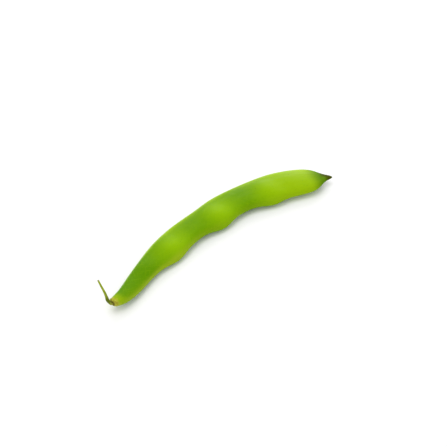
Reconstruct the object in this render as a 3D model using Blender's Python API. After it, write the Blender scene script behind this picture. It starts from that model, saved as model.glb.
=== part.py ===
"""A flat green bean, as picked: the pod with its beak, the calyx that it grew from, and the stem.

The bean lies on its broad side on the plane z = 0. +X runs along it from the stem to the beak. The string
side, which the seeds hang from, is towards +Y, and the wavy back of the pod is towards -Y. The origin is
in the middle of the ground that the bean covers. Lengths are in millimetres until a mesh is made.
"""

import math

import bmesh
import bpy
from mathutils import Matrix, Vector

MM = 0.001

# The spine: a line along the middle of the pod, from the tip of the neck to the tip of the beak
POD_LENGTH = 151.7
SPINE_START = (-71.124, -12.665)
START_HEADING = 18.5
BEND = 53.0
BEND_OVER = 147.0
SPINE_STEP = 0.25

# Place along the spine, string side, back and half thickness, with no seed there
OUTLINE = (
    (0.0, 1.50, 1.65, 1.40),
    (0.3, 2.00, 2.25, 1.80),
    (0.9, 2.15, 2.75, 2.05),
    (1.8, 2.25, 3.25, 2.25),
    (3.0, 2.30, 3.75, 2.35),
    (5.0, 2.40, 4.50, 2.50),
    (10.0, 2.85, 5.30, 2.70),
    (17.0, 4.20, 5.50, 2.85),
    (25.0, 5.50, 5.00, 3.05),
    (45.0, 8.25, 6.00, 3.30),
    (56.0, 8.70, 7.05, 3.35),
    (72.0, 8.30, 6.90, 3.40),
    (86.0, 9.45, 8.50, 3.45),
    (98.0, 9.30, 8.15, 3.42),
    (108.0, 9.50, 8.55, 3.40),
    (122.0, 10.35, 9.75, 3.30),
    (132.0, 9.95, 9.65, 3.10),
    (137.5, 9.35, 9.10, 2.85),
    (142.0, 7.35, 7.90, 2.35),
    (146.0, 3.90, 4.00, 1.50),
    (148.5, 2.45, 1.40, 1.15),
    (149.9, 1.75, 0.80, 0.95),
    (151.0, 1.15, 0.25, 0.65),
    (151.7, 0.60, -0.05, 0.30),
)

# Height of the spine above the ground, low enough that the fullest seeds press flat on it
LIFT = (
    (0.0, 5.80),
    (12.0, 4.30),
    (28.0, 3.55),
    (45.0, 3.85),
    (78.0, 3.95),
    (112.0, 3.90),
    (128.0, 3.60),
    (140.0, 3.80),
    (151.7, 4.95),
)

# The pod's face turns towards its back near the stem, in degrees
TWIST = ((0.0, 10.0), (25.0, 7.0), (60.0, 1.0), (100.0, 0.0), (130.0, -2.0), (151.7, -4.0))

# Place along the spine, swelling of each face, and how far the back stands out there
SEEDS = (
    (28.0, 0.60, 0.0),
    (44.5, 0.75, 2.1),
    (61.0, 0.05, 0.0),
    (78.0, 0.80, 2.5),
    (95.0, 0.25, 0.0),
    (112.0, 0.80, 1.9),
    (128.0, 0.60, 0.0),
    (139.0, 0.25, 0.0),
)
SEED_ALONG = 6.2
SEED_ACROSS = 5.0
SEED_TOWARDS_STRING = 0.8
MARGIN_REACH = 8.0
MARGIN_DROOP = 0.45

# The section: a flattened round with a double bead on the string side and a single one on the back
SECTION_POINTS = 36
FULLNESS = 2.6
BEAD = 0.32
BEAD_WIDTH = 9.0
BEAD_FROM_EDGE = 10.0
BEAD_FADES_OVER = 8.0
LONGEST_STEP = 2.2
SHORTEST_STEP = 0.35
STEP_GROWTH = 0.17

# The calyx: a shallow dish that hugs the pod's end, with five short teeth
CALYX_GAP = 0.04
CALYX_WALL = 0.40
CALYX_LIP_WALL = 0.25
CALYX_RIM = 0.25
TOOTH_COUNT = 5
TOOTH_LENGTH = 0.55
# Rings of the outside, from the middle of the base to the pod's end: place, and how far out from that end's edge
CALYX_OUTSIDE = ((-0.80, -1.15), (-0.80, -0.60), (-0.68, -0.30), (-0.40, 0.14), (-0.10, 0.36))
# Shares of the way up to the lip at which the wall has a ring
CALYX_WALL_RINGS = (0.0, 0.15, 0.4, 0.7, 1.0)

# The stem: points from the pod's neck with a radius. A thin link, a knob, then the stalk to its broken end
STEM_ROUTE = (
    (-0.76, -0.25, 0.00, 0.60),
    (-1.10, -0.35, 0.10, 0.60),
    (-1.48, -0.38, 0.45, 0.62),
    (-1.75, -0.28, 0.97, 0.66),
    (-1.98, 0.12, 1.50, 0.74),
    (-2.15, 0.75, 2.05, 0.84),
    (-2.25, 1.30, 2.75, 0.86),
    (-2.20, 1.90, 3.90, 0.74),
    (-2.20, 2.80, 5.50, 0.62),
    (-2.32, 4.00, 7.35, 0.55),
    (-2.60, 5.25, 9.40, 0.50),
    (-2.82, 6.35, 11.35, 0.46),
    (-2.90, 6.85, 12.30, 0.48),
)
STEM_SIDES = 14
STEM_RINGS = 37
# How far before and after a ring, as a share of the route, its direction is taken
DIRECTION_OVER = 0.015

# Colour and roughness of each finish, and the angle in degrees from which an edge looks sharp
POD_GREEN = (0.235, 0.445, 0.010, 1.0)
POD_ROUGHNESS = 0.42
CALYX_OLIVE = (0.250, 0.270, 0.050, 1.0)
CALYX_ROUGHNESS = 0.60
STEM_GREEN = (0.300, 0.400, 0.060, 1.0)
STEM_ROUGHNESS = 0.55
SHARP_FROM = 50.0


def along(rows, place, column=1):
    """A column of the rows at a place along the spine, on a curve through the rows that never overshoots."""
    if place <= rows[0][0]:
        return rows[0][column]
    if place >= rows[-1][0]:
        return rows[-1][column]
    i = next(k for k in range(len(rows) - 1) if place <= rows[k + 1][0])

    def rise(k):
        return (rows[k + 1][column] - rows[k][column]) / (rows[k + 1][0] - rows[k][0])

    def slope(k):
        if k == 0 or k == len(rows) - 1:
            return rise(min(k, len(rows) - 2))
        before, after = rise(k - 1), rise(k)
        return 2 * before * after / (before + after) if before * after > 0 else 0.0

    span = rows[i + 1][0] - rows[i][0]
    t = (place - rows[i][0]) / span
    start, end = rows[i][column], rows[i + 1][column]
    return (
        start * (1 + 2 * t) * (1 - t) ** 2
        + slope(i) * span * t * (1 - t) ** 2
        + end * t * t * (3 - 2 * t)
        + slope(i + 1) * span * t * t * (t - 1)
    )


def heading(place):
    """The spine's direction over the ground, in radians from +X. It bends more and more towards the beak."""
    return math.radians(START_HEADING - BEND * (place / BEND_OVER) ** 2)


def walk_spine():
    """Points over the ground at every SPINE_STEP along the spine."""
    points = [Vector(SPINE_START)]
    for k in range(round(POD_LENGTH / SPINE_STEP)):
        middle = heading((k + 0.5) * SPINE_STEP)
        points.append(points[-1] + SPINE_STEP * Vector((math.cos(middle), math.sin(middle))))
    return points


SPINE = walk_spine()


def frame_at(place):
    """The matrix that carries (ahead, towards the string, up) at a place along the spine into the bean's frame."""
    k = min(int(place / SPINE_STEP), len(SPINE) - 2)
    ground = SPINE[k].lerp(SPINE[k + 1], place / SPINE_STEP - k)
    centre = Vector((ground.x, ground.y, along(LIFT, place)))
    turn = Matrix.Rotation(heading(place), 4, "Z")
    roll = Matrix.Rotation(math.radians(along(TWIST, place)), 4, "X")
    return Matrix.Translation(centre) @ turn @ roll


def margin_wave(place):
    """How far the back stands out beside the fullest seeds."""
    return sum(out * math.exp(-(((place - seed) / MARGIN_REACH) ** 2)) for seed, _, out in SEEDS)


def face_swell(place, across):
    """How far a seed pushes a face out at a place, and at a distance across from the middle of the section."""
    off_middle = (across - SEED_TOWARDS_STRING) / SEED_ACROSS
    return sum(
        swell * math.exp(-(((place - seed) / SEED_ALONG) ** 2) - off_middle**2) for seed, swell, _ in SEEDS
    )


def bead(angle, place):
    """The raised strings along both edges: two beads with a furrow on the string side, one bead on the back."""
    ends = min(place, POD_LENGTH - place) / BEAD_FADES_OVER
    from_string = abs(math.degrees(math.atan2(math.sin(angle), math.cos(angle))))
    from_back = 180 - from_string
    double = math.exp(-(((from_string - BEAD_FROM_EDGE) / BEAD_WIDTH) ** 2))
    single = math.exp(-((from_back / BEAD_WIDTH) ** 2))
    return BEAD * min(1.0, ends) * (double + single)


def section(place, outset=0.0):
    """The pod's outline at a place, or one outset from it: points (0, across, up) in the spine's own frame."""
    string = along(OUTLINE, place, 1)
    back = along(OUTLINE, place, 2) + margin_wave(place)
    thick = along(OUTLINE, place, 3) + outset
    middle, half = (string - back) / 2, (string + back) / 2 + outset
    droop = MARGIN_DROOP * margin_wave(place)
    points = []
    for k in range(SECTION_POINTS):
        angle = math.tau * k / SECTION_POINTS
        c, s = math.cos(angle), math.sin(angle)
        across = half * math.copysign(abs(c) ** (2 / FULLNESS), c)
        up = thick * math.copysign(abs(s) ** (2 / FULLNESS), s)
        up += s * face_swell(place, across)
        towards_back = max(0.0, -across / half)
        edge = bead(angle, place)
        points.append(Vector((0, middle + across + edge * c, up + edge * s - droop * towards_back**2)))
    return points


def ring_places():
    """Places of the pod's rings, close together at the neck and the beak."""
    places = [0.0]
    while places[-1] < POD_LENGTH:
        to_end = min(places[-1], POD_LENGTH - places[-1])
        places.append(places[-1] + min(LONGEST_STEP, SHORTEST_STEP + STEP_GROWTH * to_end))
    stretch = POD_LENGTH / places[-1]
    return [place * stretch for place in places]


def solid_through(name, rings, material):
    """One closed mesh through rings of points in millimetres, with a flat face over each end."""
    bm = bmesh.new()
    made = [[bm.verts.new(point * MM) for point in ring] for ring in rings]
    for ring, ahead in zip(made, made[1:]):
        for k in range(len(ring)):
            after = (k + 1) % len(ring)
            bm.faces.new((ring[k], ring[after], ahead[after], ahead[k]))
    bm.faces.new(made[0])
    bm.faces.new(made[-1])
    bmesh.ops.recalc_face_normals(bm, faces=bm.faces)
    mesh = bpy.data.meshes.new(name)
    bm.to_mesh(mesh)
    bm.free()
    mesh.shade_smooth()
    mesh.set_sharp_from_angle(angle=math.radians(SHARP_FROM))
    mesh.materials.append(material)
    made_object = bpy.data.objects.new(name, mesh)
    bpy.context.scene.collection.objects.link(made_object)
    return made_object


def plant_material(name, colour, roughness):
    material = bpy.data.materials.new(name)
    material.use_nodes = True
    shader = material.node_tree.nodes["Principled BSDF"]
    shader.inputs["Base Color"].default_value = colour
    shader.inputs["Roughness"].default_value = roughness
    shader.inputs["Metallic"].default_value = 0.0
    return material


def make_pod():
    """The pod. The fullest seeds press it flat where it lies on the ground."""
    rings = [[frame_at(place) @ point for point in section(place)] for place in ring_places()]
    for ring in rings:
        for point in ring:
            point.z = max(0.0, point.z)
    return solid_through("pod", rings, plant_material("pod_skin", POD_GREEN, POD_ROUGHNESS))


def tooth(angle):
    """From 0 between two teeth to 1 at the tip of one."""
    return 0.5 + 0.5 * math.cos(TOOTH_COUNT * angle)


def calyx_ring(place, outset):
    """A ring outset from the pod's end, behind it or level with its edge."""
    neck = frame_at(0)
    return [neck @ (point + Vector((place, 0, 0))) for point in section(0, outset)]


def calyx_wall_ring(share, outset):
    """A ring outset from the pod's skin, at a share of the way from the pod's end to the teeth."""
    points = []
    for k in range(SECTION_POINTS):
        place = share * (CALYX_RIM + TOOTH_LENGTH * tooth(math.tau * k / SECTION_POINTS))
        points.append(frame_at(place) @ section(place, outset)[k])
    return points


def make_calyx():
    """A shallow dish: round its outside from the base to the teeth, over their tips and down its inside."""
    rings = [calyx_ring(place, outset) for place, outset in CALYX_OUTSIDE]
    for share in CALYX_WALL_RINGS:
        wall = CALYX_WALL + share * (CALYX_LIP_WALL - CALYX_WALL)
        rings.append(calyx_wall_ring(share, CALYX_GAP + wall))
    for share in reversed(CALYX_WALL_RINGS):
        rings.append(calyx_wall_ring(share, CALYX_GAP))
    middle_of_base = CALYX_OUTSIDE[0][1]
    rings.append(calyx_ring(-CALYX_GAP, CALYX_GAP))
    rings.append(calyx_ring(-CALYX_GAP, middle_of_base))
    return solid_through("calyx", rings, plant_material("calyx", CALYX_OLIVE, CALYX_ROUGHNESS))


def stem_route(share):
    """(a point of the stem's route, its radius), where share runs from 0 to 1."""
    reach = share * (len(STEM_ROUTE) - 1)
    rows = [(k, *row) for k, row in enumerate(STEM_ROUTE)]
    x, y, z, radius = (along(rows, reach, column) for column in (1, 2, 3, 4))
    return frame_at(0).translation + Vector((x, y, z)), radius


def make_stem():
    """The stem, as rings square to its route. The first ring faces the calyx."""
    straight_on = -(frame_at(0).to_3x3() @ Vector((1, 0, 0)))
    rings = []
    for k in range(STEM_RINGS):
        share = k / (STEM_RINGS - 1)
        centre, radius = stem_route(share)
        before = stem_route(max(0.0, share - DIRECTION_OVER))[0]
        after = stem_route(min(1.0, share + DIRECTION_OVER))[0]
        turn = Vector((0, 0, 1)).rotation_difference(after - before if k else straight_on)
        ring = []
        for side in range(STEM_SIDES):
            angle = math.tau * side / STEM_SIDES
            ring.append(centre + turn @ Vector((radius * math.cos(angle), radius * math.sin(angle), 0)))
        rings.append(ring)
    return solid_through("stem", rings, plant_material("stem", STEM_GREEN, STEM_ROUGHNESS))


def build():
    for old in list(bpy.data.objects):
        bpy.data.objects.remove(old, do_unlink=True)
    make_pod()
    make_calyx()
    make_stem()


build()
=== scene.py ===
# %% [markdown]
# # A flat green bean
#
# This lesson dresses one picked green bean in Blender. The bean has three pieces that grew on each other:
# the fleshy pod, the small dried calyx round its neck, and the stem that it hung from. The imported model
# gives each piece's place and size. Here each one is modelled again by hand, finer, and gets its colours
# and gloss.

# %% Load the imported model
import math
import random

import bmesh
import bpy
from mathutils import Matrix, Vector
from mathutils.bvhtree import BVHTree


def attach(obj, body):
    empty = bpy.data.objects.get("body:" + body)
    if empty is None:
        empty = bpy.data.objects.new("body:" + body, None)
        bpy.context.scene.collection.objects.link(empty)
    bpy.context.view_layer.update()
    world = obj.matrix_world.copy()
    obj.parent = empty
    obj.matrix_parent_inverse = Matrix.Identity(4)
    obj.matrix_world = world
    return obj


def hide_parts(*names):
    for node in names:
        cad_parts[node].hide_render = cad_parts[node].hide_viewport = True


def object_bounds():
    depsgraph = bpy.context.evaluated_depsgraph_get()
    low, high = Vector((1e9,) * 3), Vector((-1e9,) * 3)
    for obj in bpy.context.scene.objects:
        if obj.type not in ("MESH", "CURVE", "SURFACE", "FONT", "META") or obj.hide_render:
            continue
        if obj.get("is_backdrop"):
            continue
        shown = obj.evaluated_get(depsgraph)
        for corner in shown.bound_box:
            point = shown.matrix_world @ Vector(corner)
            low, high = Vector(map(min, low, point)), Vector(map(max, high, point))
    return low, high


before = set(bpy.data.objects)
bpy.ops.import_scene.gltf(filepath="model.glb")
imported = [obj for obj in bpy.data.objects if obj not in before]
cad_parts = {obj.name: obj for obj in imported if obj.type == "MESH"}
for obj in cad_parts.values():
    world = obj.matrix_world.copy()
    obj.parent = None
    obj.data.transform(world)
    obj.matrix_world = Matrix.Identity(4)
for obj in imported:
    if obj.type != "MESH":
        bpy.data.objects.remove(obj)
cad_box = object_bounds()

MM = 0.001
print("nodes in the frame:", sorted(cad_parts))

# %% [markdown]
# ## Working by hand, in code
#
# A person who models in Blender deselects everything, picks some points and moves them. The script does the
# same, so it needs short helpers for that: one to start a piece, one to pick points by their place, and one
# to apply a modifier. Points are picked by a test on their position, because a script has no mouse.

# %% Helpers for picking and moving points
# Two places closer together than this count as the same one, in millimetres
SAME_PLACE = 0.001


def deselect_everything():
    for thing in bpy.context.selected_objects:
        thing.select_set(False)


def start_editing(piece):
    """Opens the piece in edit mode with nothing picked."""
    deselect_everything()
    piece.select_set(True)
    bpy.context.view_layer.objects.active = piece
    bpy.ops.object.mode_set(mode="EDIT")
    bpy.ops.mesh.select_mode(type="VERT")
    bpy.ops.mesh.select_all(action="DESELECT")


def stop_editing():
    bpy.ops.object.mode_set(mode="OBJECT")


def pick(piece, test):
    """Picks the points whose place passes the test, and nothing else. Returns how many were picked."""
    cage = bmesh.from_edit_mesh(piece.data)
    for point in cage.verts:
        point.select_set(bool(test(point.co)))
    cage.select_flush_mode()
    bmesh.update_edit_mesh(piece.data)
    return sum(point.select for point in cage.verts)


def pick_group(piece, name):
    """Picks the points of one vertex group."""
    bpy.ops.mesh.select_all(action="DESELECT")
    piece.vertex_groups.active = piece.vertex_groups[name]
    bpy.ops.object.vertex_group_select()


def pick_nearest(piece, place):
    """Picks the one point that lies nearest to a place."""
    cage = bmesh.from_edit_mesh(piece.data)
    target = Vector(place)
    nearest = min(cage.verts, key=lambda point: (point.co - target).length_squared)
    pick(piece, lambda co: (co - nearest.co).length < SAME_PLACE * MM)


def pull(by, reach):
    """Moves what is picked, and takes the skin within reach along with it, less and less with distance."""
    bpy.ops.transform.translate(
        value=by,
        use_proportional_edit=True,
        use_proportional_connected=True,
        proportional_edit_falloff="SMOOTH",
        proportional_size=reach,
    )


# %% Helpers for modifiers
def apply_modifier(piece, kind, **settings):
    """Adds a modifier to the piece, sets it up and applies it."""
    deselect_everything()
    piece.select_set(True)
    bpy.context.view_layer.objects.active = piece
    modifier = piece.modifiers.new(kind.lower(), kind)
    for name, value in settings.items():
        setattr(modifier, name, value)
    bpy.ops.object.modifier_apply(modifier=modifier.name)


def smooth_by_subdividing(piece, levels):
    apply_modifier(piece, "SUBSURF", levels=levels, render_levels=levels)


# %% [markdown]
# ## The pod's outline
#
# A flat bean is a long pod, about 152 mm round its curve and up to 21 mm wide, but only 8 mm thick. It has a
# thin neck at the stem, a wider body and a short pointed beak. It could be cut from a bent block, but the
# easiest way is to shape it straight first: one ring of points for the neck, extruded again and again towards
# the beak, and made wider or narrower each time. The rows below give the pod's outline as measured across it.
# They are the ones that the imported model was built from.

# %% The pod's dimensions, in millimetres
POD_LENGTH = 151.7
# Place along the pod, distance to the string side, distance to the back, and half the thickness
POD_OUTLINE = (
    (0.0, 1.50, 1.65, 1.40),
    (0.3, 2.00, 2.25, 1.80),
    (0.9, 2.15, 2.75, 2.05),
    (1.8, 2.25, 3.25, 2.25),
    (3.0, 2.30, 3.75, 2.35),
    (5.0, 2.40, 4.50, 2.50),
    (10.0, 2.85, 5.30, 2.70),
    (17.0, 4.20, 5.50, 2.85),
    (25.0, 5.50, 5.00, 3.05),
    (45.0, 8.25, 6.00, 3.30),
    (56.0, 8.70, 7.05, 3.35),
    (72.0, 8.30, 6.90, 3.40),
    (86.0, 9.45, 8.50, 3.45),
    (98.0, 9.30, 8.15, 3.42),
    (108.0, 9.50, 8.55, 3.40),
    (122.0, 10.35, 9.75, 3.30),
    (132.0, 9.95, 9.65, 3.10),
    (137.5, 9.35, 9.10, 2.85),
    (142.0, 7.35, 7.90, 2.35),
    (146.0, 3.90, 4.00, 1.50),
    (148.5, 2.45, 1.40, 1.15),
    (149.9, 1.75, 0.80, 0.95),
    (151.0, 1.15, 0.25, 0.65),
    (151.7, 0.60, -0.05, 0.30),
)
# The longest and the shortest step between rings, in millimetres, and how much a step grows for each
# millimetre of distance from the pod's nearer end
LONGEST_STEP = 4.4
SHORTEST_STEP = 0.4
STEP_GROWTH = 0.24


def along(rows, place, column=1):
    """A column of the rows at a place along the pod, on a curve through the rows that never overshoots."""
    if place <= rows[0][0]:
        return rows[0][column]
    if place >= rows[-1][0]:
        return rows[-1][column]
    i = next(k for k in range(len(rows) - 1) if place <= rows[k + 1][0])

    def rise(k):
        return (rows[k + 1][column] - rows[k][column]) / (rows[k + 1][0] - rows[k][0])

    def slope(k):
        if k == 0 or k == len(rows) - 1:
            return rise(min(k, len(rows) - 2))
        before, after = rise(k - 1), rise(k)
        return 2 * before * after / (before + after) if before * after > 0 else 0.0

    span = rows[i + 1][0] - rows[i][0]
    t = (place - rows[i][0]) / span
    start, end = rows[i][column], rows[i + 1][column]
    return (
        start * (1 + 2 * t) * (1 - t) ** 2
        + slope(i) * span * t * (1 - t) ** 2
        + end * t * t * (3 - 2 * t)
        + slope(i + 1) * span * t * t * (t - 1)
    )


def ring_places():
    """Places of the pod's rings, close together at the neck and the beak."""
    places = [0.0]
    while places[-1] < POD_LENGTH:
        to_end = min(places[-1], POD_LENGTH - places[-1])
        places.append(places[-1] + min(LONGEST_STEP, SHORTEST_STEP + STEP_GROWTH * to_end))
    stretch = POD_LENGTH / places[-1]
    return [place * stretch for place in places]


print("the pod gets", len(ring_places()), "rings")

# %% [markdown]
# ## Rings that become a piece
#
# The pod, the calyx and the stem all start in the same way: a circle stands upright at x = 0, and is extruded
# along X ring by ring, each one resized and shifted. One helper does that for all three. Points on the first
# ring can be named, because each extrusion copies a point's vertex groups to the next ring, so a name becomes
# a line that runs along the whole piece. Such a line can be raised later into a ridge, or sunk into a groove.

# %% Helpers for a piece made of rings
# A ring's points lie this close to the ring's place, in millimetres
ON_THE_RING = 0.01
# The last ring of a closed end has this share of the width of the one before it
END_SHRINK = 0.5


def start_ring(name, columns, lines):
    """An upright circle of 1 mm radius at x = 0. lines names points, counted round from the +Y side."""
    deselect_everything()
    bpy.ops.mesh.primitive_circle_add(vertices=columns, radius=MM, rotation=(0, math.radians(90), 0))
    piece = bpy.context.object
    piece.name = name
    bpy.ops.object.transform_apply(location=True, rotation=True, scale=True)
    for line, (numbers, _) in lines.items():
        group = piece.vertex_groups.new(name=line)
        for number in numbers:
            angle = math.tau * number / columns
            place = Vector((0, math.cos(angle), math.sin(angle))) * MM
            nearest = min(piece.data.vertices, key=lambda point: (point.co - place).length)
            group.add([nearest.index], 1.0, "REPLACE")
    return piece


def extrude_rings(piece, rings):
    """Extrudes the first ring along X.

    Each ring is its place, how far aside its middle is, half its width and half its height.
    """
    bpy.ops.mesh.select_all(action="SELECT")
    last, aside, half, high = 0.0, 0.0, 1.0, 1.0
    for number, (place, new_aside, new_half, new_high) in enumerate(rings):
        if number:
            bpy.ops.mesh.extrude_region_move()
        bpy.ops.transform.translate(value=((place - last) * MM, (new_aside - aside) * MM, 0))
        bpy.ops.transform.resize(
            value=(1, new_half / half, new_high / high),
            center_override=(place * MM, new_aside * MM, 0),
        )
        last, aside, half, high = place, new_aside, new_half, new_high


def close_end(piece, place, outwards):
    """Draws the ring at a place together to a point, so that the end is closed."""
    pick(piece, lambda co: abs(co.x - place * MM) < ON_THE_RING * MM)
    bpy.ops.mesh.extrude_region_move()
    bpy.ops.transform.resize(value=(1, END_SHRINK, END_SHRINK))
    bpy.ops.transform.translate(value=(outwards * MM, 0, 0))
    bpy.ops.mesh.extrude_region_move()
    bpy.ops.mesh.merge(type="CENTER")


def face_outwards():
    bpy.ops.mesh.select_all(action="SELECT")
    bpy.ops.mesh.normals_make_consistent(inside=False)


def raise_line(piece, line, by, low, high):
    """Moves a named line out of the skin, between two places along the piece."""
    pick_group(piece, line)
    cage = bmesh.from_edit_mesh(piece.data)
    for point in cage.verts:
        point.select_set(point.select and low * MM < point.co.x < high * MM)
    cage.select_flush_mode()
    bmesh.update_edit_mesh(piece.data)
    bpy.ops.transform.shrink_fatten(value=by * MM)


# %% [markdown]
# ## The pod's two edges
#
# Both edges of a pod carry strings under the skin. The seeds hang from one edge, where two fine ridges run
# with a furrow between them. The other edge, the back, has a single ridge. They could be painted on, but
# real ridges catch the light from every side. They are named on the first ring, and raised in two rounds,
# the second one shorter, so that they fade out towards the neck and the beak.
#
# A flat bean's faces are nearly level and turn down only close to the edges. So the first ring gets fuller
# shoulders: the points between its four sides are pushed out in a few rounds, each with fewer points
# picked.

# %% Extrude the pod from the neck to the beak
POD_COLUMNS = 48
# Points of the first ring further than this from both axes, in millimetres, are pushed out this many times
SHOULDERS = ((0.12, 1.013), (0.25, 1.020), (0.40, 1.027), (0.60, 1.020))
# Lines, counted in points round from the string side, and how far each is raised in millimetres
POD_LINES = {
    "string_ridges": ((1, -1), 0.46),
    "string_furrow": ((0,), -0.06),
    "string_grooves": ((3, -3), -0.10),
    "back_ridge": ((24,), 0.36),
    "back_grooves": ((22, -22), -0.07),
}
# How far from the pod's ends each round of raising stops, in millimetres
LINES_STOP_AT = (4.0, 8.0)
# How far the middle of each end stands out along X, in millimetres
NECK_BULGE = -0.10
BEAK_BULGE = 0.08


def pod_ring(place):
    string, back = along(POD_OUTLINE, place, 1), along(POD_OUTLINE, place, 2)
    return place, (string - back) / 2, (string + back) / 2, along(POD_OUTLINE, place, 3)


pod = start_ring("bean_pod", POD_COLUMNS, POD_LINES)
start_editing(pod)
for from_axes, fuller in SHOULDERS:
    pushed = pick(pod, lambda co: min(abs(co.y), abs(co.z)) > from_axes * MM)
    bpy.ops.transform.resize(value=(1, fuller, fuller), center_override=(0, 0, 0))
    print("points of the shoulders pushed out:", pushed)
extrude_rings(pod, [pod_ring(place) for place in ring_places()])
close_end(pod, 0.0, NECK_BULGE)
close_end(pod, POD_LENGTH, BEAK_BULGE)
face_outwards()
for line, (_, raised) in POD_LINES.items():
    for from_end in LINES_STOP_AT:
        raise_line(pod, line, raised / len(LINES_STOP_AT), from_end, POD_LENGTH - from_end)
stop_editing()
smooth_by_subdividing(pod, levels=1)
print("points after the first smoothing:", len(pod.data.vertices))

# %% [markdown]
# ## Seeds that show through
#
# The seeds swell both faces of the pod, and beside the fullest of them the back bulges out and droops a
# little. That gives the wavy edge of a ripe flat bean. Proportional editing is made for this: one point is
# pulled, and the skin round it follows with a soft falloff. Distance is measured over the skin, so the other
# face stays put.

# %% Swell the seeds and pull out the back beside them
# Place along the pod, swelling of each face, and how far the back stands out there
SEEDS = (
    (28.0, 0.60, 0.0),
    (44.5, 0.75, 2.1),
    (61.0, 0.05, 0.0),
    (78.0, 0.80, 2.5),
    (95.0, 0.25, 0.0),
    (112.0, 0.80, 1.9),
    (128.0, 0.60, 0.0),
    (139.0, 0.25, 0.0),
)
# How far the skin follows each pull, in millimetres, and how much of a bulge of the back it droops by
SEED_REACH = 9.4
MARGIN_REACH = 14.0
DROOP_REACH = 9.0
DROOP = 0.45
# The seeds lie this far from the middle, because they hang from the string side
SEED_TOWARDS_STRING = 0.8

start_editing(pod)
for seed, swelling, stands_out in SEEDS:
    string, back = along(POD_OUTLINE, seed, 1), along(POD_OUTLINE, seed, 2)
    thick = along(POD_OUTLINE, seed, 3)
    if stands_out:
        pick_nearest(pod, (seed * MM, -back * MM, 0))
        pull((0, -stands_out * MM, 0), MARGIN_REACH * MM)
        pull((0, 0, -stands_out * DROOP * MM), DROOP_REACH * MM)
    middle = (string - back - stands_out) / 2 + SEED_TOWARDS_STRING
    for side in (1, -1):
        pick_nearest(pod, (seed * MM, middle * MM, side * thick * MM))
        pull((0, 0, side * swelling * MM), SEED_REACH * MM)
stop_editing()
smooth_by_subdividing(pod, levels=1)
print("points after the second smoothing:", len(pod.data.vertices))

# %% [markdown]
# ## Where each point grew
#
# The colours follow the pod: ochre at the neck, deep green between the seeds, brown at the beak. They are
# easy to place while the pod is still straight, so its straight shape is kept as an attribute that the
# material can read after the pod has been bent. A second attribute says how near a point is to the crest of
# a seed, where the skin is paler and a highlight is painted in as well.


# %% Keep the straight shape and the seeds as attributes
def keep_straight_shape(piece):
    """Stores each point's place before bending, in millimetres, as the attribute grown."""
    grown = piece.data.attributes.new("grown", "FLOAT_VECTOR", "POINT")
    for point, value in zip(piece.data.vertices, grown.data):
        value.vector = point.co / MM


# The pale skin over a seed, with the highlight painted on it, has faded to about a third this far along and
# across from its middle, and its middle lies this far from the seed's, towards the beak and the back, where
# the painted highlight falls, all in millimetres
CREST_LENGTH = 9.5
CREST_WIDTH = 8.5
CREST_TOWARDS_BEAK = 4.0
CREST_TOWARDS_BACK = 2.2
# Skin that a seed swells by the first number or less isn't paler, and by the second it is fully pale
SWELLING_THAT_SHOWS = 0.3
FULL_SWELLING = 0.8


def seed_crest_and_highlight(co):
    """From 0 between the seeds to 1 over the palest skin of a full one, which also carries a painted
    highlight.
    """
    total = 0.0
    for seed, swelling, stands_out in SEEDS:
        string, back = along(POD_OUTLINE, seed, 1), along(POD_OUTLINE, seed, 2)
        middle = (string - back - stands_out) / 2 - CREST_TOWARDS_BACK
        ahead = (co.x / MM - seed - CREST_TOWARDS_BEAK) / CREST_LENGTH
        aside = (co.y / MM - middle) / CREST_WIDTH
        shows = max(0.0, swelling - SWELLING_THAT_SHOWS) / (FULL_SWELLING - SWELLING_THAT_SHOWS)
        total += shows * math.exp(-ahead * ahead - aside * aside)
    return min(1.0, total)


keep_straight_shape(pod)
crests = pod.data.attributes.new("seed_crest_and_highlight", "FLOAT", "POINT")
for point, value in zip(pod.data.vertices, crests.data):
    value.value = seed_crest_and_highlight(point.co)
print("attributes on the pod:", [a.name for a in pod.data.attributes if not a.name.startswith(".")])

# %% [markdown]
# ## Bending the pod
#
# The pod could be bent point by point, but a Curve modifier does it in one go: it carries the straight pod
# along a curve. The curve lies over the ground, bends more and more towards the beak, and rises a little at
# both ends. Its tilt turns the pod's face a little to one side at the neck, and to the other at the beak.
# The same curve then carries the calyx, so both stay in line.

# %% Draw the spine as a curve
# Where the spine starts, in millimetres, its direction there, and how many degrees it turns over how far
SPINE_START = (-71.124, -12.665)
START_HEADING = 18.5
BEND = 53.0
BEND_OVER = 147.0
# Place along the spine, and its height above the ground
LIFT = (
    (0.0, 5.80),
    (12.0, 4.30),
    (28.0, 3.55),
    (45.0, 3.85),
    (78.0, 3.95),
    (112.0, 3.90),
    (128.0, 3.60),
    (140.0, 3.80),
    (151.7, 4.95),
)
# Place along the spine, and how many degrees the pod's face is turned there
TWIST = ((0.0, 10.0), (25.0, 7.0), (60.0, 1.0), (100.0, 0.0), (130.0, -2.0), (151.7, -4.0))
SPINE_SPANS = 20
WALK_STEPS = 600
CURVE_SMOOTHNESS = 32


def heading(place):
    """The spine's direction over the ground, in radians from +X."""
    return math.radians(START_HEADING - BEND * (place / BEND_OVER) ** 2)


def spine_place(place):
    """The point of the spine at a distance from the neck, in millimetres."""
    ground = Vector(SPINE_START)
    step = place / WALK_STEPS
    for k in range(WALK_STEPS):
        middle = heading((k + 0.5) * step)
        ground += step * Vector((math.cos(middle), math.sin(middle)))
    return Vector((ground.x, ground.y, along(LIFT, place)))


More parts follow.
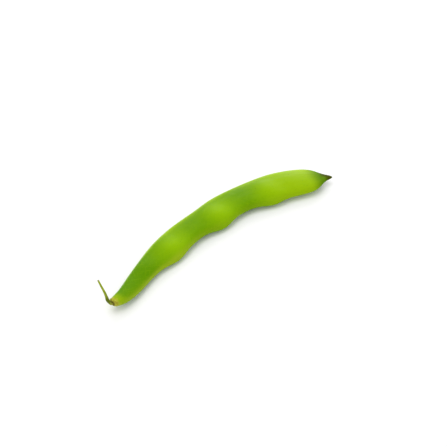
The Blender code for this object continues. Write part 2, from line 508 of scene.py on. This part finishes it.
def draw_curve(name, points, tilts):
    """A smooth curve through the points, in millimetres, with a tilt in degrees at each."""
    deselect_everything()
    bpy.ops.curve.primitive_bezier_curve_add()
    line = bpy.context.object
    line.name = name
    bpy.ops.object.mode_set(mode="EDIT")
    bpy.ops.curve.select_all(action="SELECT")
    bpy.ops.curve.subdivide(number_cuts=len(points) - 2)
    bpy.ops.object.mode_set(mode="OBJECT")
    line.data.twist_mode = "Z_UP"
    line.data.resolution_u = CURVE_SMOOTHNESS
    for knot, point, tilt in zip(line.data.splines[0].bezier_points, points, tilts):
        knot.co = Vector(point) * MM
        knot.tilt = math.radians(tilt)
        knot.handle_left_type = "AUTO"
        knot.handle_right_type = "AUTO"
    bpy.context.view_layer.update()
    print(name, "is", round(line.data.splines[0].calc_length() / MM, 1), "mm long")
    return line


places = [POD_LENGTH * k / SPINE_SPANS for k in range(SPINE_SPANS + 1)]
spine = draw_curve("spine", [spine_place(s) for s in places], [along(TWIST, s) for s in places])

# %% Bend the pod and press it flat on the ground
apply_modifier(pod, "CURVE", object=spine, deform_axis="POS_X")
start_editing(pod)
pressed = pick(pod, lambda co: co.z < 0)
bpy.ops.transform.resize(value=(1, 1, 0), center_override=(0, 0, 0))
stop_editing()
lowest = min(point.co.z for point in pod.data.vertices) / MM
print("points pressed flat:", pressed, "lowest point in mm:", round(lowest, 3))


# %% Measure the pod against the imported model
def distance_to_node(piece, node):
    """How far the piece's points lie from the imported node: mean and largest, in millimetres."""
    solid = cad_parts[node]
    corners = [solid.matrix_world @ v.co for v in solid.data.vertices]
    tree = BVHTree.FromPolygons(corners, [p.vertices for p in solid.data.polygons])
    gaps = [tree.find_nearest(piece.matrix_world @ v.co)[3] / MM for v in piece.data.vertices]
    return round(sum(gaps) / len(gaps), 3), round(max(gaps), 3)


print("pod to packed pod, mean and largest mm:", distance_to_node(pod, "pod"))

# %% [markdown]
# ## The calyx
#
# The calyx is what the flower leaves: a shallow dish with five short teeth. On a picked bean it has dried to
# a thin straw-coloured rim that hugs the pod's end. It could be five leaves joined at their feet, but they
# have grown together, so it is extruded from one ring like the pod, and follows the pod's outline at a small
# distance. Its teeth are pulled out of the rim, and Solidify gives the leafy wall its thickness. Ten fine
# ribs run down it. The pod's own curve then carries it to the neck.

# %% Model the calyx
CALYX_COLUMNS = 40
CALYX_LINES = {
    "calyx_ribs": (range(0, CALYX_COLUMNS, 4), 0.07),
    "calyx_hollows": (range(2, CALYX_COLUMNS, 4), -0.05),
}
# Ribs and hollows run between these places along the pod's line
CALYX_LINES_BETWEEN = (-0.5, 2.0)
# Place along the pod's line, and how far outside the pod's outline, from the stem to the rim
CALYX_PROFILE = (
    (-0.82, -0.85),
    (-0.80, -0.60),
    (-0.68, -0.28),
    (-0.42, 0.12),
    (-0.14, 0.38),
    (0.05, 0.46),
    (0.20, 0.46),
    (0.35, 0.42),
)
CALYX_BASE_DIP = 0.02
CALYX_WALL = 0.30
TOOTH_COUNT = 5
# How far ahead and outwards a tooth is pulled, and how far round it the rim follows
TOOTH_PULL = (0.60, 0.28)
TOOTH_REACH = 1.3


def calyx_ring(place, outset):
    _, aside, half, high = pod_ring(max(0.0, place))
    return place, aside, half + outset, high + outset


calyx = start_ring("bean_calyx", CALYX_COLUMNS, CALYX_LINES)
start_editing(calyx)
extrude_rings(calyx, [calyx_ring(place, outset) for place, outset in CALYX_PROFILE])
close_end(calyx, CALYX_PROFILE[0][0], CALYX_BASE_DIP)
face_outwards()
for line, (_, raised) in CALYX_LINES.items():
    raise_line(calyx, line, raised, *CALYX_LINES_BETWEEN)
rim_place, rim_aside, rim_half, rim_high = calyx_ring(*CALYX_PROFILE[-1])
for tooth in range(TOOTH_COUNT):
    angle = math.tau * tooth / TOOTH_COUNT
    across, up = math.cos(angle), math.sin(angle)
    ahead, spread = TOOTH_PULL
    pick_nearest(calyx, Vector((rim_place, rim_aside + rim_half * across, rim_high * up)) * MM)
    pull(Vector((ahead, spread * across, spread * up)) * MM, TOOTH_REACH * MM)
stop_editing()
apply_modifier(calyx, "SOLIDIFY", thickness=CALYX_WALL * MM, offset=-1.0, use_even_offset=True)
smooth_by_subdividing(calyx, levels=2)
keep_straight_shape(calyx)
apply_modifier(calyx, "CURVE", object=spine, deform_axis="POS_X")
print("calyx to packed calyx, mean and largest mm:", distance_to_node(calyx, "calyx"))

# %% [markdown]
# ## The stem
#
# A thin link leaves the calyx, thickens to a knob where a ripe pod lets go, and runs on as a ribbed stalk to
# the place where it was torn off the plant. A bevelled curve would be quicker, but it has no ribs. So the
# stalk is extruded straight, its ribs are raised, its torn end is left uneven, and a second curve bends it
# up from the pod.

# %% Draw the stem's line
# Points from the pod's neck, and the radius there, in millimetres
STEM_ROUTE = (
    (-0.50, -0.17, 0.00, 0.58),
    (-0.76, -0.25, 0.00, 0.60),
    (-1.10, -0.35, 0.10, 0.60),
    (-1.48, -0.38, 0.45, 0.62),
    (-1.75, -0.28, 0.97, 0.66),
    (-1.98, 0.12, 1.50, 0.74),
    (-2.15, 0.75, 2.05, 0.84),
    (-2.25, 1.30, 2.75, 0.86),
    (-2.20, 1.90, 3.90, 0.74),
    (-2.20, 2.80, 5.50, 0.62),
    (-2.32, 4.00, 7.35, 0.55),
    (-2.60, 5.25, 9.40, 0.50),
    (-2.82, 6.35, 11.35, 0.46),
    (-2.90, 6.85, 12.30, 0.48),
)

neck = spine_place(0)
route = [neck + Vector(row[:3]) for row in STEM_ROUTE]
stem_line = draw_curve("stem_line", route, [0] * len(route))
stem_line.data.twist_mode = "MINIMUM"
passed = [0.0]
for here, ahead in zip(route, route[1:]):
    passed.append(passed[-1] + (ahead - here).length)
radii = [(place, row[3]) for place, row in zip(passed, STEM_ROUTE)]
stem_length = passed[-1]
print("the stem is", round(stem_length, 1), "mm long, measured straight from point to point")

# %% Model the stem
STEM_COLUMNS = 20
STEM_LINES = {
    "stem_ribs": (range(0, STEM_COLUMNS, 4), 0.09),
    "stem_furrows": (range(2, STEM_COLUMNS, 4), -0.07),
}
STEM_RIBS_START = 1.2
STEM_STEP = 0.45
STEM_BASE_BULGE = -0.05
# Rings of the torn end: how far ahead of the last one, in millimetres, and its share of that one's width
TORN_RINGS = ((0.05, 0.80), (-0.50, 0.75))
# Points within the first distance of the end, or past it, are moved by up to the second, in millimetres
TEAR_WITHIN = 0.05
TORN_UNEVEN = 0.22
TEAR_SEED = 5

stem = start_ring("bean_stem", STEM_COLUMNS, STEM_LINES)
start_editing(stem)
steps = round(stem_length / STEM_STEP)
stem_rings = []
for k in range(steps + 1):
    place = stem_length * k / steps
    stem_rings.append((place, 0, along(radii, place), along(radii, place)))
extrude_rings(stem, stem_rings)
pick(stem, lambda co: co.x > (stem_length - ON_THE_RING) * MM)
for ahead, narrower in TORN_RINGS:
    bpy.ops.mesh.extrude_region_move(TRANSFORM_OT_translate={"value": (ahead * MM, 0, 0)})
    bpy.ops.transform.resize(value=(1, narrower, narrower))
bpy.ops.mesh.extrude_region_move()
bpy.ops.mesh.merge(type="CENTER")
close_end(stem, 0.0, STEM_BASE_BULGE)
face_outwards()
for line, (_, raised) in STEM_LINES.items():
    raise_line(stem, line, raised, STEM_RIBS_START, stem_length)
tear = random.Random(TEAR_SEED)
cage = bmesh.from_edit_mesh(stem.data)
for point in cage.verts:
    if point.co.x > (stem_length - TEAR_WITHIN) * MM:
        point.co.x += tear.uniform(-1, 1) * TORN_UNEVEN * MM
bmesh.update_edit_mesh(stem.data)
stop_editing()
smooth_by_subdividing(stem, levels=2)
keep_straight_shape(stem)
apply_modifier(stem, "CURVE", object=stem_line, deform_axis="POS_X")
print("stem to packed stem, mean and largest mm:", distance_to_node(stem, "stem"))

# %% Put the drawing lines away
for line in (spine, stem_line):
    bpy.data.objects.remove(line, do_unlink=True)
print("left in the scene:", pod.name, calyx.name, stem.name)

# %% [markdown]
# ## Finishes
#
# A fresh pod is satin rather than glossy. Its colour is never even: deep green between the seeds, yellower
# and paler over them, a pale line along both strings, ochre at the neck and brown at the beak. Some of it is
# painted light: the paleness over the seeds is partly a painted highlight, the pale line along the string
# edge is partly a painted highlight, the deeper green at the neck is partly painted shade, and the lighter
# green towards the beak is partly painted light. It could be painted as a picture, but here it is mixed from
# noise and from the attributes that were kept before bending, so it is sharp from close by, and the pattern
# follows the curve of the pod.


# %% Helpers for a finish
def new_finish(name, specular):
    """A material, its node tree and its main shader."""
    finish = bpy.data.materials.new(name)
    finish.use_nodes = True
    shader = finish.node_tree.nodes["Principled BSDF"]
    shader.inputs["Specular IOR Level"].default_value = specular
    return finish, finish.node_tree, shader


def put(tree, value, socket):
    """Connects an output to a socket, or sets the socket to a number, colour or vector."""
    if isinstance(value, bpy.types.NodeSocket):
        tree.links.new(value, socket)
    else:
        socket.default_value = value


def attribute(tree, name):
    """The node that reads an attribute of the piece."""
    reader = tree.nodes.new("ShaderNodeAttribute")
    reader.attribute_name = name
    return reader


def axes_of(tree):
    """Where each point grew, in millimetres: along the piece, across it and up."""
    splitter = tree.nodes.new("ShaderNodeSeparateXYZ")
    tree.links.new(attribute(tree, "grown").outputs["Vector"], splitter.inputs["Vector"])
    return splitter.outputs["X"], splitter.outputs["Y"], splitter.outputs["Z"]


# %% Helpers for patterns
# How far one step of a pattern's seed shifts it along, across and up, in millimetres
PATTERN_SHIFT = (11, 7, 5)


def patch_place(tree, size, slant=0.0, seed=0):
    """The grown place counted in patches. size is how long, wide and high one patch is, in millimetres."""
    mapping = tree.nodes.new("ShaderNodeMapping")
    mapping.vector_type = "TEXTURE"
    mapping.inputs["Scale"].default_value = size
    mapping.inputs["Rotation"].default_value = (0, 0, math.radians(slant))
    mapping.inputs["Location"].default_value = [seed * shift for shift in PATTERN_SHIFT]
    tree.links.new(attribute(tree, "grown").outputs["Vector"], mapping.inputs["Vector"])
    return mapping.outputs["Vector"]


def noise(tree, size, detail, slant=0.0, seed=0):
    """Soft noise on the grown shape. slant turns its patches over the face, in degrees."""
    texture = tree.nodes.new("ShaderNodeTexNoise")
    texture.inputs["Scale"].default_value = 1.0
    texture.inputs["Detail"].default_value = detail
    tree.links.new(patch_place(tree, size, slant, seed), texture.inputs["Vector"])
    return texture.outputs["Fac"]


def dots(tree, size, seed):
    """Distance to the nearest of many scattered dots, in patches, and a random number for each dot."""
    texture = tree.nodes.new("ShaderNodeTexVoronoi")
    texture.inputs["Scale"].default_value = 1.0
    tree.links.new(patch_place(tree, size, seed=seed), texture.inputs["Vector"])
    return texture.outputs["Distance"], texture.outputs["Color"]


# %% Helpers for numbers, colours and relief
def fade(tree, value, low, high, start=0.0, end=1.0):
    """Turns a number that runs from low to high into one that runs smoothly from start to end."""
    node = tree.nodes.new("ShaderNodeMapRange")
    node.interpolation_type = "SMOOTHSTEP"
    put(tree, value, node.inputs["Value"])
    for name, number in (("From Min", low), ("From Max", high), ("To Min", start), ("To Max", end)):
        node.inputs[name].default_value = number
    return node.outputs["Result"]


def calculate(tree, operation, first, *others):
    """Works one sum through several numbers, such as adding them all up."""
    for other in others or (0.0,):
        node = tree.nodes.new("ShaderNodeMath")
        node.operation = operation
        put(tree, first, node.inputs[0])
        put(tree, other, node.inputs[1])
        first = node.outputs["Value"]
    return first


def mix(tree, share, first, second):
    """Mixes two colours. share is how much of the second shows, from 0 to 1."""
    node = tree.nodes.new("ShaderNodeMix")
    node.data_type = "RGBA"
    put(tree, share, node.inputs["Factor"])
    put(tree, first, node.inputs["A"])
    put(tree, second, node.inputs["B"])
    return node.outputs["Result"]


def bump(tree, shader, height, depth, below=None):
    """Adds fine relief, depth in millimetres."""
    node = tree.nodes.new("ShaderNodeBump")
    node.inputs["Strength"].default_value = 1.0
    node.inputs["Distance"].default_value = depth * MM
    put(tree, height, node.inputs["Height"])
    if below is not None:
        tree.links.new(below, node.inputs["Normal"])
    tree.links.new(node.outputs["Normal"], shader.inputs["Normal"])
    return node.outputs["Normal"]


# %% [markdown]
# ## The pod's skin, layer by layer
#
# The first layer is the soft change of green along the pod. It is darker towards the neck, partly painted
# shade, and lighter towards the beak, partly painted light, with a paler patch over each seed that is partly
# a painted highlight. The second is what the skin itself shows from close by: fibres that run slanting across
# the faces, fine grain, pores, and a few brown specks. The last is the two strings and the two ends. The pale
# line along the string edge is partly a painted highlight. The same patterns that colour the skin also move
# its gloss and its relief, as they do on a real pod. Each fade below holds four numbers: it starts at the
# first and ends at the second, and its value runs from the third to the fourth. Places and distances are in
# millimetres, from the neck or from the pod's middle.

# %% Soft greens along the pod
# Deep green near the neck is partly painted shade, and the lighter, riper green towards the beak is partly
# painted light
DEEP_GREEN = (0.086, 0.236, 0.0004, 1)
MID_GREEN = (0.130, 0.290, 0.0006, 1)
# Pale green over the seeds: partly the skin's own yellower colour, partly a painted highlight
PALE_GREEN_AND_HIGHLIGHT = (0.265, 0.470, 0.0015, 1)
RIPE_AND_LIT_GREEN = (0.280, 0.452, 0.0012, 1)
GREEN_PATCH = (16, 7, 7)
PATCHES_SHOW = (0.25, 0.70, 0.6, 1.3)
MID_GREEN_ALONG = (25.0, 60.0, 0.15, 0.75)
PALE_CRESTS_AND_HIGHLIGHT_ALONG = (26.0, 46.0, 0.05, 0.85)
RIPE_AND_LIT_GREEN_ALONG = (98.0, 132.0, 0.0, 0.85)


def soft_greens(tree, x):
    """Deep green near the neck, partly painted shade, mid green further on, pale over the seeds, partly a
    painted highlight, and riper and yellower towards the beak, partly painted light.
    """
    patches = noise(tree, GREEN_PATCH, detail=3)
    older_and_lit = calculate(tree, "MULTIPLY", fade(tree, x, *MID_GREEN_ALONG), fade(tree, patches, *PATCHES_SHOW))
    colour = mix(tree, older_and_lit, DEEP_GREEN, MID_GREEN)
    # Paler over the seeds, partly own colour and partly a painted highlight
    crest = attribute(tree, "seed_crest_and_highlight").outputs["Fac"]
    crest_colour_and_highlight = calculate(tree, "MULTIPLY", crest, fade(tree, x, *PALE_CRESTS_AND_HIGHLIGHT_ALONG))
    colour = mix(tree, crest_colour_and_highlight, colour, PALE_GREEN_AND_HIGHLIGHT)
    return mix(tree, fade(tree, x, *RIPE_AND_LIT_GREEN_ALONG), colour, RIPE_AND_LIT_GREEN)


# %% Fibres, pores and specks
FIBRE_SIZE = (6.0, 0.45, 3.0)
FIBRE_SLANT = 38.0
PORE_SPACING = (1.3, 1.3, 1.3)
PORE_EDGE = (0.06, 0.20, 1.0, 0.0)
SPECK_SPACING = (5.5, 3.3, 3.3)
SPECK_EDGE = (0.02, 0.085, 1.0, 0.0)
# Dots with a random number below this stay clear
SPECK_CHANCE = 0.66


def crossed_fibres(tree):
    """Two sets of fibres that cross on the slant."""
    one = noise(tree, FIBRE_SIZE, detail=4, slant=FIBRE_SLANT, seed=3)
    other = noise(tree, FIBRE_SIZE, detail=4, slant=-FIBRE_SLANT, seed=5)
    return calculate(tree, "MAXIMUM", one, other)


def pore_marks(tree):
    """1 in the middle of a pore, 0 on the skin between."""
    distance, _ = dots(tree, PORE_SPACING, seed=1)
    return fade(tree, distance, *PORE_EDGE)


def speck_marks(tree):
    """A few small dried specks, because only some of the dots are kept."""
    distance, chance = dots(tree, SPECK_SPACING, seed=2)
    kept = calculate(tree, "GREATER_THAN", chance, SPECK_CHANCE)
    return calculate(tree, "MULTIPLY", fade(tree, distance, *SPECK_EDGE), kept)


# %% Strings and ends
# The pale line along the string edge is partly the string's own paler skin and partly a painted highlight on
# that rim
STRING_GREEN_AND_HIGHLIGHT = (0.360, 0.540, 0.0060, 1)
BACK_STRAW = (0.300, 0.430, 0.0120, 1)
NECK_PALE = (0.270, 0.410, 0.0040, 1)
NECK_OCHRE = (0.460, 0.440, 0.0450, 1)
BEAK_GREEN = (0.085, 0.200, 0.0010, 1)
BEAK_BROWN = (0.055, 0.065, 0.0020, 1)
# The two edges: the side that each is on, and its line across the edge and along the pod. STRING_SCALE
# multiplies the distance from the string's middle, so that its line is narrower near the neck.
STRING_SIDE = (-1.0, 1.0, 0.0, 1.0)
STRING_SCALE = (0.0, 55.0, 1.7, 0.9)
STRING_OUTSIDE = (1.6, 3.1, 0.85, 0.0)
STRING_FURROW = (0.4, 1.7, 0.45, 1.0)
STRING_ALONG = (12.0, 40.0, 0.35, 1.0)
BACK_SIDE = (-1.0, 1.0, 1.0, 0.0)
BACK_ACROSS = (0.8, 3.0, 1.0, 0.0)
BACK_UNDERNEATH = (-1.8, -0.4, 0.15, 1.0)
BACK_ALONG = (40.0, 75.0, 0.8, 0.25)
# The two ends, where noise makes the neck's border uneven, and the beak's colours start later at the back
NECK_PATCH = (1.5, 1.2, 1.2)
NECK_UNEVEN = 2.5
NECK_PALE_ALONG = (2.5, 8.0, 0.9, 0.0)
NECK_OCHRE_ALONG = (1.3, 3.5, 0.95, 0.0)
BEAK_SLANT = (-6.0, 3.0, -1.6, 1.0)
BEAK_GREEN_ALONG = (136.5, 146.0, 0.0, 0.95)
BEAK_BROWN_ALONG = (146.5, 150.0, 0.0, 1.0)
DRY_STRING_ACROSS = (1.1, 2.2, 0.9, 0.0)
DRY_STRING_ALONG = (143.0, 146.0, 0.0, 1.0)


def strings(tree, colour, x, y, z):
    """Adds the pale line along each edge. The one on the string side is partly a painted highlight, and has a
    greener furrow in its middle.
    """
    from_edge = calculate(tree, "ABSOLUTE", z)
    from_string = calculate(tree, "MULTIPLY", from_edge, fade(tree, x, *STRING_SCALE))
    string_line_and_highlight = calculate(
        tree,
        "MULTIPLY",
        fade(tree, y, *STRING_SIDE),
        fade(tree, from_string, *STRING_OUTSIDE),
        fade(tree, from_string, *STRING_FURROW),
        fade(tree, x, *STRING_ALONG),
    )
    colour = mix(tree, string_line_and_highlight, colour, STRING_GREEN_AND_HIGHLIGHT)
    back_line = calculate(
        tree,
        "MULTIPLY",
        fade(tree, y, *BACK_SIDE),
        fade(tree, from_edge, *BACK_ACROSS),
        fade(tree, z, *BACK_UNDERNEATH),
        fade(tree, x, *BACK_ALONG),
    )
    return mix(tree, back_line, colour, BACK_STRAW)


def ends(tree, colour, x, y, z):
    """Adds the pale and ochre neck and the dark beak, whose string edge turns brown first."""
    uneven = calculate(tree, "MULTIPLY", noise(tree, NECK_PATCH, detail=3, seed=9), NECK_UNEVEN)
    from_neck = calculate(tree, "ADD", x, uneven)
    colour = mix(tree, fade(tree, from_neck, *NECK_PALE_ALONG), colour, NECK_PALE)
    colour = mix(tree, fade(tree, from_neck, *NECK_OCHRE_ALONG), colour, NECK_OCHRE)
    towards_beak = calculate(tree, "ADD", x, fade(tree, y, *BEAK_SLANT))
    colour = mix(tree, fade(tree, towards_beak, *BEAK_GREEN_ALONG), colour, BEAK_GREEN)
    dry_string = calculate(
        tree,
        "MULTIPLY",
        fade(tree, y, *STRING_SIDE),
        fade(tree, calculate(tree, "ABSOLUTE", z), *DRY_STRING_ACROSS),
        fade(tree, x, *DRY_STRING_ALONG),
    )
    colour = mix(tree, dry_string, colour, BEAK_BROWN)
    return mix(tree, fade(tree, towards_beak, *BEAK_BROWN_ALONG), colour, BEAK_BROWN)


# %% The pod's skin
FIBRE_GREEN = (0.260, 0.440, 0.0020, 1)
GRAIN_GREEN = (0.300, 0.450, 0.0060, 1)
PORE_GREEN = (0.060, 0.170, 0.0010, 1)
SPECK_BROWN = (0.110, 0.100, 0.0100, 1)
GRAIN_SIZE = (0.5, 0.35, 0.35)
FIBRES_SHOW = (0.52, 0.78, 0.0, 0.30)
GRAIN_SHOWS = (0.52, 0.75, 0.0, 0.18)
PORES_SHOW = 0.40
SPECKS_SHOW = 0.7
# Gloss: how strong it is and its tint, the roughness of the grain, and what scuffs and the dry beak add to it
SKIN_SHEEN = 0.07
SHEEN_TINT = (0.75, 1.0, 0.10, 1)
GRAIN_ROUGHNESS = (0.3, 0.7, 0.36, 0.44)
SCUFF_SIZE = (9.0, 3.0, 3.0)
SCUFFS_ADD = (0.45, 0.7, 0.0, 0.14)
BEAK_ADDS = (136.0, 146.0, 0.0, 0.25)
# How much light enters the skin, and how far red, green and blue light go in, in millimetres
SKIN_GLOW = 0.10
GLOW_DEPTHS = (1.0, 1.4, 0.1)
# Depth of the relief in millimetres
FIBRE_RELIEF = 0.06
GRAIN_RELIEF = 0.02
PORE_RELIEF = -0.02


def pod_skin():
    finish, tree, shader = new_finish("fresh_pod_skin", specular=SKIN_SHEEN)
    shader.inputs["Specular Tint"].default_value = SHEEN_TINT
    x, y, z = axes_of(tree)
    fibres = crossed_fibres(tree)
    grain = noise(tree, GRAIN_SIZE, detail=3, seed=7)
    pores = pore_marks(tree)
    specks = speck_marks(tree)

    colour = soft_greens(tree, x)
    colour = mix(tree, fade(tree, fibres, *FIBRES_SHOW), colour, FIBRE_GREEN)
    colour = mix(tree, fade(tree, grain, *GRAIN_SHOWS), colour, GRAIN_GREEN)
    colour = mix(tree, calculate(tree, "MULTIPLY", pores, PORES_SHOW), colour, PORE_GREEN)
    colour = mix(tree, calculate(tree, "MULTIPLY", specks, SPECKS_SHOW), colour, SPECK_BROWN)
    colour = strings(tree, colour, x, y, z)
    colour = ends(tree, colour, x, y, z)
    tree.links.new(colour, shader.inputs["Base Color"])

    scuffed = noise(tree, SCUFF_SIZE, detail=4, seed=4)
    roughness = calculate(
        tree,
        "ADD",
        fade(tree, grain, *GRAIN_ROUGHNESS),
        fade(tree, scuffed, *SCUFFS_ADD),
        fade(tree, x, *BEAK_ADDS),
    )
    tree.links.new(roughness, shader.inputs["Roughness"])
    shader.inputs["Subsurface Weight"].default_value = SKIN_GLOW
    shader.inputs["Subsurface Radius"].default_value = GLOW_DEPTHS
    shader.inputs["Subsurface Scale"].default_value = MM
    below = bump(tree, shader, fibres, FIBRE_RELIEF)
    below = bump(tree, shader, grain, GRAIN_RELIEF, below)
    bump(tree, shader, calculate(tree, "ADD", pores, specks), PORE_RELIEF, below)
    return finish


pod.data.materials.clear()
pod.data.materials.append(pod_skin())
print("nodes in the pod's material:", len(pod.data.materials[0].node_tree.nodes))

# %% [markdown]
# ## Dry and woody tissue
#
# The calyx has dried to straw and ochre, and is brown where it meets the stem and at the tips of its teeth.
# The thin link is straw-coloured too. The stalk is olive green with paler fibres along it, darkest at the
# knob, and its torn end is pale straw. Noise stretched along the piece gives such fibres, and needs no
# picture.

# %% The calyx
CALYX_STRAW = (0.520, 0.530, 0.0500, 1)
CALYX_OCHRE = (0.300, 0.280, 0.0080, 1)
CALYX_BROWN = (0.120, 0.095, 0.0030, 1)
CALYX_SHEEN = 0.25
CALYX_PATCH = (1.6, 0.8, 0.8)
CALYX_VEIN = (0.9, 0.15, 0.15)
OCHRE_SHOWS = (0.35, 0.65, 0.0, 1.0)
VEINS_SHOW = (0.50, 0.75, 0.0, 0.4)
BROWN_BASE_ALONG = (-0.75, -0.25, 0.95, 0.0)
BROWN_TIPS_ALONG = (0.75, 1.0, 0.0, 0.5)
VEIN_ROUGHNESS = (0.3, 0.7, 0.60, 0.80)
VEIN_RELIEF = 0.06


def dry_calyx():
    finish, tree, shader = new_finish("dried_calyx", specular=CALYX_SHEEN)
    x = axes_of(tree)[0]
    patches = noise(tree, CALYX_PATCH, detail=4)
    veins = noise(tree, CALYX_VEIN, detail=4, seed=2)
    colour = mix(tree, fade(tree, patches, *OCHRE_SHOWS), CALYX_STRAW, CALYX_OCHRE)
    colour = mix(tree, fade(tree, veins, *VEINS_SHOW), colour, CALYX_BROWN)
    colour = mix(tree, fade(tree, x, *BROWN_BASE_ALONG), colour, CALYX_BROWN)
    colour = mix(tree, fade(tree, x, *BROWN_TIPS_ALONG), colour, CALYX_BROWN)
    tree.links.new(colour, shader.inputs["Base Color"])
    tree.links.new(fade(tree, veins, *VEIN_ROUGHNESS), shader.inputs["Roughness"])
    bump(tree, shader, veins, VEIN_RELIEF)
    return finish


calyx.data.materials.clear()
calyx.data.materials.append(dry_calyx())
print("nodes in the calyx's material:", len(calyx.data.materials[0].node_tree.nodes))

# %% The stem
STEM_OLIVE = (0.090, 0.125, 0.0010, 1)
STEM_LIGHT = (0.330, 0.400, 0.0200, 1)
LINK_STRAW = (0.300, 0.320, 0.0400, 1)
TORN_STRAW = (0.350, 0.340, 0.1400, 1)
STEM_SHEEN = 0.12
STEM_PATCH = (3.0, 0.6, 0.6)
WOOD_FIBRE = (1.6, 0.12, 0.12)
LIGHT_PATCHES_SHOW = (0.35, 0.65, 0.0, 1.0)
WOOD_SHOWS = (0.50, 0.75, 0.0, 0.5)
OLIVE_KNOB_ALONG = (3.5, 8.5, 0.8, 0.0)
LIGHT_STALK_ALONG = (9.0, stem_length, 0.0, 0.8)
STRAW_LINK_ALONG = (1.5, 2.8, 0.85, 0.0)
TORN_STRAW_ALONG = (stem_length - 0.8, stem_length, 0.0, 0.8)
WOOD_ROUGHNESS = (0.3, 0.7, 0.50, 0.70)
WOOD_RELIEF = 0.05


def stalk():
    finish, tree, shader = new_finish("ribbed_stalk", specular=STEM_SHEEN)
    x = axes_of(tree)[0]
    patches = noise(tree, STEM_PATCH, detail=4)
    wood = noise(tree, WOOD_FIBRE, detail=3, seed=5)
    colour = mix(tree, fade(tree, patches, *LIGHT_PATCHES_SHOW), STEM_OLIVE, STEM_LIGHT)
    colour = mix(tree, fade(tree, wood, *WOOD_SHOWS), colour, STEM_LIGHT)
    colour = mix(tree, fade(tree, x, *OLIVE_KNOB_ALONG), colour, STEM_OLIVE)
    colour = mix(tree, fade(tree, x, *LIGHT_STALK_ALONG), colour, STEM_LIGHT)
    colour = mix(tree, fade(tree, x, *STRAW_LINK_ALONG), colour, LINK_STRAW)
    colour = mix(tree, fade(tree, x, *TORN_STRAW_ALONG), colour, TORN_STRAW)
    tree.links.new(colour, shader.inputs["Base Color"])
    tree.links.new(fade(tree, wood, *WOOD_ROUGHNESS), shader.inputs["Roughness"])
    bump(tree, shader, wood, WOOD_RELIEF)
    return finish


stem.data.materials.clear()
stem.data.materials.append(stalk())
print("nodes in the stem's material:", len(stem.data.materials[0].node_tree.nodes))

# %% [markdown]
# ## Hand the pieces to the frame
#
# Each piece rides on the part's one body and stands for the imported node of the same name. It is shaded
# smooth, because a bean has no sharp edge that its shape doesn't already round.

# %% Ride and replace
# Each piece, the node that it stands for, and that node's slot
DRESSED = (
    (pod, "pod", "pod_skin"),
    (calyx, "calyx", "calyx"),
    (stem, "stem", "stem"),
)

for piece, node, material_slot in DRESSED:
    deselect_everything()
    piece.select_set(True)
    bpy.context.view_layer.objects.active = piece
    bpy.ops.object.shade_smooth()
    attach(piece, "root")
    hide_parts(node)
    print(piece.name, "has", sum(len(p.vertices) - 2 for p in piece.data.polygons), "triangles")

# %% [markdown]
# ## A plain studio
#
# The photograph was taken on bright white with soft light from all sides, so shadows on the ground are
# faint. A wide pale floor, a white surrounding and large soft lamps give that. The camera looks down at 45
# degrees from the side where the bean runs from the lower left to the upper right of the picture.

# %% Floor
FLOOR_SIZE = 4.0
FLOOR_WHITE = (0.90, 0.90, 0.90, 1)
FLOOR_ROUGHNESS = 0.9

deselect_everything()
bpy.ops.mesh.primitive_plane_add(size=FLOOR_SIZE)
floor = bpy.context.object
floor.name = "studio_floor"
floor_finish, _, floor_shader = new_finish("pale_floor", specular=0.0)
floor_shader.inputs["Base Color"].default_value = FLOOR_WHITE
floor_shader.inputs["Roughness"].default_value = FLOOR_ROUGHNESS
floor.data.materials.append(floor_finish)
floor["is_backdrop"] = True
print("floor:", floor.name, "and its size in metres:", FLOOR_SIZE)

# %% Lights
WHITE = (1, 1, 1, 1)
SURROUNDING_STRENGTH = 0.87
LAMP_SIZE = 0.60
# Place of each lamp in metres, and its power in watts
LAMPS = {
    "back_lamp": ((0.60, 0.55, 0.32), 3.2),
    "top_lamp": ((-0.10, 0.10, 0.80), 2.0),
}

surrounding = bpy.data.worlds.new("white_surrounding")
surrounding.use_nodes = True
surrounding.node_tree.nodes["Background"].inputs["Color"].default_value = WHITE
surrounding.node_tree.nodes["Background"].inputs["Strength"].default_value = SURROUNDING_STRENGTH
bpy.context.scene.world = surrounding


def soft_lamp(name, place, power):
    """A square lamp that faces the bean."""
    bpy.ops.object.light_add(type="AREA", location=place)
    lamp = bpy.context.object
    lamp.name = name
    lamp.data.size = LAMP_SIZE
    lamp.data.energy = power
    lamp.rotation_euler = (-Vector(place)).to_track_quat("-Z", "Y").to_euler()


for name, (place, power) in LAMPS.items():
    soft_lamp(name, place, power)
print("lamps:", list(LAMPS))

# %% Camera
# Angles in degrees, distance and target in metres, lens in millimetres
CAMERA_AZIMUTH = -38.87
CAMERA_ELEVATION = 45.0
CAMERA_DISTANCE = 0.5594
CAMERA_LENS = 85.0
CAMERA_TARGET = Vector((0.00840, 0.00050, 0.0))
NEAREST_SEEN = 0.01

azimuth, elevation = math.radians(CAMERA_AZIMUTH), math.radians(CAMERA_ELEVATION)
looking = Vector((-math.sin(azimuth), math.cos(azimuth), 0)) * math.cos(elevation)
looking.z = -math.sin(elevation)
bpy.ops.object.camera_add(location=CAMERA_TARGET - looking * CAMERA_DISTANCE)
camera = bpy.context.object
camera.name = "photo_camera"
camera.rotation_euler = looking.to_track_quat("-Z", "Y").to_euler()
camera.data.lens = CAMERA_LENS
camera.data.clip_start = NEAREST_SEEN
bpy.context.scene.camera = camera
bpy.context.scene.view_settings.view_transform = "Standard"
print("camera at", [round(c, 3) for c in camera.location])

# %% Print both sizes
dressed_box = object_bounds()
boxes = {"cad": [list(c) for c in cad_box], "visual": [list(c) for c in dressed_box]}
for name, (low, high) in boxes.items():
    print(name, "box in mm:", [round((b - a) / MM, 1) for a, b in zip(low, high)])
